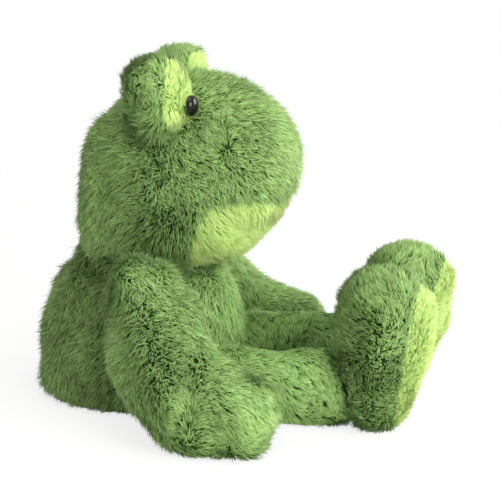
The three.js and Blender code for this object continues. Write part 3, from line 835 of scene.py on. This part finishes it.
def rubbed(points):
    """How strongly the pile stands up at each point, from -1, stroked flat, to 1, and which way:
    the ways out of the centres, each times its fading effect, added up."""
    strength, away = np.zeros((len(points), 1)), np.zeros_like(points)
    for x, y, z, reach, most in RUBBED:
        offset = points / MM - (x, y, z)
        effect = most * np.exp(-np.sum((offset / reach) ** 2, axis=1, keepdims=True))
        strength += effect
        away += np.maximum(effect, 0) * unit(offset)
    return np.clip(strength, -1, 1), away


# %% [markdown]
# ### One lock
#
# A lock is a bent spindle of five points: a root, a flat triangle where it is widest, and a tip.
# It rises steeply out of the backing, then lies over along the way it was brushed. The light
# should see a soft coat and not facets, so each lock borrows its shading normal from the skin
# below, leaned outwards as if its tuft were a small dome.

# %% The points and faces of a lock
LOCK_FACES = np.array([[0, 1, 2], [0, 3, 1], [0, 2, 3], [1, 4, 2], [1, 3, 4], [3, 2, 4]])
LOCK_ALONG = np.array([0, 0.45, 0.45, 0.45, 1.0])
# Each point's place in its lock's square of the colour map: upper sides left, lower ones right.
UPPER_MAP = np.array([[0.3, 0.03], [0.04, 0.45], [0.56, 0.45], [0.3, 0.45], [0.3, 0.97]])
LOWER_MAP = np.array([[0.8, 0.03], [0.64, 0.45], [0.96, 0.45], [0.8, 0.45], [0.8, 0.97]])
LOCK_MAP = np.stack([(LOWER_MAP if face in (0, 3) else UPPER_MAP)[LOCK_FACES[face]]
                     for face in range(6)])
BEND_SHARE = 0.42  # of a lock's length, from its root to its bend
BEND_CLING = 0.35  # of the way that a tip moves to the tuft's middle, which its bend moves
SWIRL_SIZE = 46 * MM
SAG = (0, 0, -0.08)  # the pull of its weight on a lying lock


def labelled(piece, shade):
    """Tells each point its lock's shade and how far along it lies, and gives each lock a square
    of its own in the colour map."""
    count = len(shade)
    for label, values in (("along", np.tile(LOCK_ALONG, count)), ("lock", np.repeat(shade, 5))):
        piece.data.attributes.new(label, "FLOAT", "POINT").data.foreach_set(
            "value", values.astype(np.float32))
    squares = math.ceil(math.sqrt(count))
    square = np.stack([np.arange(count) % squares, np.arange(count) // squares], axis=1)
    uv = (square[:, None, None] + LOCK_MAP) / squares
    layer = piece.data.uv_layers.new(name="OFBake")
    layer.data.foreach_set("uv", uv.astype(np.float32).ravel())
    return piece


def swung(a, b, angle):
    """A direction between two square ones: a x cosine + b x sine."""
    return a * np.cos(angle) + b * np.sin(angle)


print("a lock has", len(LOCK_ALONG), "points and", len(LOCK_FACES), "faces")

# %% [markdown]
# A hair system could grow the coat, but other tools read meshes only. So all locks of a patch are
# worked out at once, as whole arrays, and become one mesh.

# %% Growing a patch of pile
def grow(name, roots, coat, length, seed, finish):
    """A mesh of locks. Root + bend share x length along the rising direction is the bend, and
    bend + the rest along the lying direction is the tip; both move to the tuft's middle."""
    place, normal, onwards, trim = roots
    random, count, ruffle = np.random.default_rng(seed), len(place), coat["ruffle"]
    middle, character = tufts(place, coat["tuft"] * MM, seed)
    strength, away = rubbed(place)
    strength = strength * coat["rub"]
    standing, lain = np.maximum(strength, 0), np.minimum(strength, 0)
    turn = (character[:, :1] - 0.5) * 0.7
    turn += random.normal(0, 1, (count, 1)) * (0.26 * ruffle + 0.8 * standing)
    brushed = coat["brushed"](place) + onwards * coat["flow"] + 0.35 * away
    lay = flattened(brushed + coat["swirl"] * waves(place, SWIRL_SIZE, seed), normal)
    lay = flattened(swung(lay, np.cross(normal, lay), turn), normal)
    long = length * (0.8 + 0.35 * character[:, 1:2]) * random.uniform(0.75, 1.2, (count, 1))
    long *= coat["longer"](place) * trim[:, None]
    steep = coat["rise"][0] + 16 * (character[:, 2:3] - 0.5)
    steep += random.normal(0, 9 * ruffle, (count, 1)) + 20 * strength
    lying = coat["rise"][1] + random.normal(0, 11 * ruffle, (count, 1))
    lying += 50 * standing + 12 * lain
    up = swung(lay, normal, np.radians(steep))
    over = unit(swung(lay, normal, np.radians(lying)) + SAG)
    pull = middle - place
    pull -= dots(pull, normal)[:, None] * normal
    bend = place + up * long * BEND_SHARE + pull * coat["cling"] * BEND_CLING
    tip = bend + over * long * (1 - BEND_SHARE) + pull * coat["cling"] * (1 - BEND_CLING)
    roll = random.normal(0, 0.5, (count, 1))
    right = np.cross(lay, normal)
    right = unit(swung(right, np.cross(up, right), roll))
    ridge = unit(np.cross(right, up))
    half = right * coat["width"] / 2 * MM
    points = np.stack([place - normal * 0.8 * MM, bend - half, bend + half,
                       bend + ridge * coat["width"] * 0.4 * MM, tip], axis=1).reshape(-1, 3)
    points[:, 2] = np.maximum(points[:, 2], 0.3 * MM)
    corners = (np.arange(count)[:, None, None] * 5 + LOCK_FACES).ravel()
    piece = mesh_piece(name, points, corners, np.full(count * 6, 3), [finish])
    dome = normal - pull / (coat["tuft"] * MM) * coat["dome"]
    soft = np.stack([dome, dome - right * 0.5, dome + right * 0.5, dome + ridge * 0.3,
                     dome + lay * 0.3], axis=1).reshape(-1, 3)
    piece.data.normals_split_custom_set_from_vertices(unit(soft).tolist())
    shade = 0.25 * character[:, :1] + 0.75 * random.random((count, 1)) ** 1.5
    # The shade is painted darker where the pile is rubbed, as painted shade, and lighter where it
    # is stroked, as painted light.
    shade = (0.75 + (shade - 0.75) * ruffle) * (1 - 0.4 * standing)
    shade = 0.9 + (shade - 0.9) * (1 + 0.8 * lain)
    print(name, "has", count, "locks")
    return labelled(piece, shade[:, 0])


# %% [markdown]
# ### How each part was brushed
#
# The table says how long a part's locks are and which way they were brushed: along the part
# (flow), and in a direction of the frog's frame (brushed). The head's pile parts behind the eyes.

# %% Coats
PARTING_X = -50


def evenly(*direction):
    """Brushed the same way everywhere."""
    return lambda points: np.array(direction, float)


def fanned(points):
    """Brushed out of the foot of an eye mound: up its back, and back and down below."""
    return unit(points - (neck[0] + 14 * MM, 0, mound_height - 16 * MM)) * (1, 0.3, 1)


def skirted(points):
    """Longer towards the foot of an eye mound, where the pile covers the seam to the head."""
    return 1 + 0.7 * np.clip((mound_height - points[:, 2:]) / (22 * MM), 0, 1)


def parted(points):
    """Brushed down, and away from the parting's plane on both sides of it."""
    ahead = np.tanh((points[:, :1] / MM - PARTING_X) / 12)
    return np.hstack([0.7 * ahead, 0 * ahead, -0.6 + 0 * ahead])


limb = {"length": 10.0, "rise": (62, 24), "swirl": 0.5, "tuft": 4.5, "cling": 0.36, "width": 0.85,
        "ruffle": 1.0, "dome": 0.35, "rub": 1.0, "flow": 0.0, "longer": evenly(1)}
coats = {
    "torso": limb | {"flow": -1.0, "brushed": evenly(-0.25, 0, -0.4), "length": 11.0,
                     "ruffle": 1.4},
    "head": limb | {"brushed": parted, "length": 10.5, "rise": (66, 32), "tuft": 4.0,
                    "cling": 0.4, "swirl": 0.25, "ruffle": 1.2},
    "eye": limb | {"brushed": fanned, "length": 9.0, "rise": (62, 26), "longer": skirted},
    "arm": limb | {"flow": 1.0, "brushed": evenly(0, 0, -0.2), "length": 10.5},
    "leg": limb | {"flow": 0.8, "brushed": evenly(0, 0, -0.4), "length": 8.5, "rise": (52, 16),
                   "ruffle": 0.6, "dome": 0.2},
    "foot": limb | {"flow": 0.7, "brushed": evenly(-0.3, 0, 0.2), "length": 8.5, "rise": (66, 34)},
}
LIME_COAT = {"tuft": 4.5, "cling": 0.3, "swirl": 0.3, "width": 0.75, "rise": (60, 28),
             "ruffle": 0.7, "dome": 0.2, "rub": 0.3}
LIME_LENGTH = {"head": 0.8, "eye": 0.62, "foot": 0.72}  # of the green pile's
print("coats:", ", ".join(coats))

# %% [markdown]
# Where a part is seated in a neighbour that turns against it, the pile is a short, thin nap, and
# just outside the seat it is shorter too. So a joint can turn to its limit with no bald cloth
# coming out. Inside a neighbour that never turns, as the head round an eye mound, no lock grows.

# %% Pile of every part
neighbours = [("torso", "head")]
for side, _ in SIDES:
    neighbours += [("torso", f"arm_{side}"), ("torso", f"leg_{side}"),
                   (f"leg_{side}", f"foot_{side}"), ("head", f"eye_mound_{side}")]
MOST_LOCKS = 33000  # in one piece, which keeps it under 200,000 faces
# How far inside a neighbour's outline a root lies, in mm, and the share of its length that its
# lock keeps there. Of the shortest, every third is left out.
NAP = ((-9, 0.85), (-1, 0.7), (7, 0.45))
SEAM_MARGIN = 3.0  # how far inside a neighbour that never turns the locks still grow, in mm
THINNING = 0.4  # the share of the locks that is missing where the pile is rubbed most

locks_grown = 0
for seed, (name, form) in enumerate(forms.items(), 100):
    kind = name.split("_")[0]
    roots = rooted(form, PILE_DEPTH[kind])
    place = roots[0]
    hidden, trim = np.zeros(len(place), bool), np.ones(len(place))
    for other in [b if a == name else a for a, b in neighbours if name in (a, b)]:
        if BODY[other] == BODY[name]:
            hidden |= within(forms[other], place, SEAM_MARGIN)
        else:
            for margin, share in NAP:
                trim = np.where(within(forms[other], place, margin), np.minimum(trim, share), trim)
    hidden |= (trim < 0.5) & (np.arange(len(place)) % 3 == 0)
    roots.append(trim)
    lime = lime_depth[name](place) > 0 if name in lime_depth else np.zeros(len(place), bool)
    thinned = THINNING * rubbed(place)[0][:, 0] * np.where(lime, LIME_COAT["rub"], 1)
    hidden |= np.random.default_rng(seed).random(len(place)) < thinned
    for shade, finish, chosen in (("green", green_plush, ~lime), ("lime", lime_plush, lime)):
        where = np.flatnonzero(chosen & ~hidden)
        if not len(where):
            continue
        coat, length = coats[kind], coats[kind]["length"]
        if shade == "lime":
            coat, length = coat | LIME_COAT, length * LIME_LENGTH[kind]
        where = where[np.argsort(place[where, 0], kind="stable")]
        batches = math.ceil(len(where) / MOST_LOCKS)
        for batch, these in enumerate(np.array_split(where, batches), 1):
            label = f"{name}_{shade}_pile" + (f"_{batch}" if batches > 1 else "")
            pile = grow(label, [r[these] for r in roots], coat, length * MM, seed, finish)
            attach(pile, BODY[name])
            locks_grown += len(these)
print("locks:", locks_grown)

# %% [markdown]
# ## Eyes
#
# A safety eye is one moulding: a low dome, and a ribbed shank behind it that a washer grips
# inside the head. It is round, so a profile of radii along its axis gives it.

# %% Safety eyes
EYE_RADIUS, EYE_DOME, EYE_SPLAY, EYE_RECESS, SHANK_LENGTH, SHANK_RADIUS = 7.5, 5, 12, 2.5, 13, 1.9
RIB_DEPTH, RIBS = 0.18, 3
SHANK_END, RIM_END = 0.4, 0.55  # of "along", which then runs on over the dome


def eye_surface(side):
    """Points of an eye. From the back, the shank's radius waves with its ribs, the seat spreads
    to the rim, and the dome closes it: height = dome x sine, radius = rim x cosine."""
    splay = math.radians(side * EYE_SPLAY)
    out = np.array([math.cos(splay), math.sin(splay), 0])
    across = np.array([-math.sin(splay), math.cos(splay), 0])
    base = np.array([MOUND_X + EYE_DROP * math.tan(math.radians(MOUND_LEAN)), side * MOUND_Y, 0])
    seat = neck + (base + out * (MOUND_DEPTH / 2 - EYE_RECESS)) * MM
    seat[2] = eye_height

    def surface(around, along):
        shank = np.clip(along / SHANK_END, 0, 1)
        rim = np.clip((along - SHANK_END) / (RIM_END - SHANK_END), 0, 1)
        dome = np.clip((along - RIM_END) / (1 - RIM_END), 0, 1) * math.pi / 2
        ribs = SHANK_RADIUS - RIB_DEPTH + RIB_DEPTH * np.cos(shank * 2 * RIBS * math.pi)
        stem = ribs * np.minimum(1, shank * 12) + (EYE_RADIUS - 0.2 - ribs) * rim
        radius = np.where(along < RIM_END, stem, EYE_RADIUS * np.cos(dome))
        height = np.where(along < RIM_END, (shank - 1) * SHANK_LENGTH,
                          0.3 + (EYE_DOME - 0.3) * np.sin(dome))
        spoke = swung(across, np.array([0, 0, 1]), around[:, None])
        return seat + (out * height[:, None] + spoke * radius[:, None]) * MM
    return surface


for name, side in SIDES:
    eye = grid_piece(f"eye_{name}_dome", eye_surface(side), 64, 60, [black_acrylic])
    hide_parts(f"eye_{name}")
    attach(eye, "head")
    washer = frame["nodes"][f"eye_washer_{name}"].data.materials
    washer.clear()
    washer.append(milky_plastic)
print("eyes at height", round(float(eye_height), 4))

# %% [markdown]
# ## The pellet bag
#
# A flat calico bag of plastic pellets in the seat keeps the frog sitting. It is a small stuffed
# form whose lumps are as small as its pellets.

# %% Pellet bag
POUCH_DEPTH, POUCH_WIDTH, POUCH_HEIGHT = 76, 70, 22
pouch_low, pouch_high = (np.array(corner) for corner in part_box("seat_pellet_pouch"))
round_end = POUCH_HEIGHT / 2
pouch_form = make_form(
    [[e * (POUCH_DEPTH / 2 - round_end), 0, round_end * (0.8 if e else 1),
      POUCH_WIDTH / 2 * (0.85 if e else 1), 0] for e in (-1, 0, 1)],
    round_end, round_end, (pouch_low + pouch_high) / 2, seed=61, lump_size=7 * MM,
    lump_height=0.5)
pouch = grid_piece("seat_pellet_bag", lambda u, v: skin(pouch_form, u, v, 0.8), 64, 48,
                   [pellet_calico])
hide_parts("seat_pellet_pouch")
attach(pouch, "torso")
print("pellet bag faces:", len(pouch.data.polygons))

# %% [markdown]
# ## Floor and light
#
# Floor and air are nearly white. The light is soft: a large lamp before the frog on the camera's
# side, a weaker one on its far side, one overhead, and a sky that lights less than it shows, or
# the dark between the locks would fill up. The paper glows, less where it keeps the shadow.

# %% Floor
def looked_at(tree):
    """1 where the camera sees a thing, by itself or in a glossy or clear one, else 0."""
    path = add(tree, "LightPath").outputs
    direct = worked(tree, "MAXIMUM", path["Is Camera Ray"], path["Is Glossy Ray"])
    return worked(tree, "MAXIMUM", direct, path["Is Transmission Ray"])


floor = bpy.data.meshes.new("floor")
floor.from_pydata([(-4, -4, 0), (4, -4, 0), (4, 4, 0), (-4, 4, 0)], [], [(0, 1, 2, 3)])
floor_object = placed("floor", floor)
paper, tree, place = new_material("white_background_paper")
distance = add(tree, "VectorMath", {0: place}, operation="LENGTH").outputs["Value"]
glow = worked(tree, "MULTIPLY", looked_at(tree), ranged(tree, distance, 0.8, 1.0, 0.4, 1.5))
matt = add(tree, "BsdfDiffuse", {"Color": colour("#f4f4f2")})
white = add(tree, "Emission", {"Color": (1, 1, 1, 1), "Strength": 1.0})
both = add(tree, "MixShader", {0: glow, 1: matt.outputs[0], 2: white.outputs[0]})
add(tree, "OutputMaterial", {"Surface": both.outputs[0]})
floor.materials.append(paper)
print("floor:", paper.name)

# %% Lamps and sky
def lamp(name, place, aim, size, power):
    """A square lamp at a place, turned to face the aim."""
    data = bpy.data.lights.new(name, "AREA")
    data.size, data.energy = size, power
    made = placed(name, data)
    x, y, z = np.array(aim, float) - np.array(place, float)
    made.location = place
    made.rotation_euler = (math.atan2(math.hypot(x, y), -z), 0, math.atan2(-x, y))


lamp("key", (1.35, -1.35, 0.75), (0, 0, 0.1), 1.2, 45)
lamp("far side", (1.6, 0.8, 0.75), (0, 0, 0.1), 1.0, 24)
lamp("overhead", (0.3, -0.5, 2.1), (0, 0, 0.12), 1.6, 20)
sky = bpy.data.worlds.new("sky")
sky.use_nodes = True
tree = sky.node_tree
tree.nodes.clear()
level = ranged(tree, looked_at(tree), 0.55, 1.0)
air = add(tree, "Background", {"Color": (1, 1, 1, 1), "Strength": level})
add(tree, "OutputWorld", {"Surface": air.outputs[0]})
bpy.context.scene.world = sky
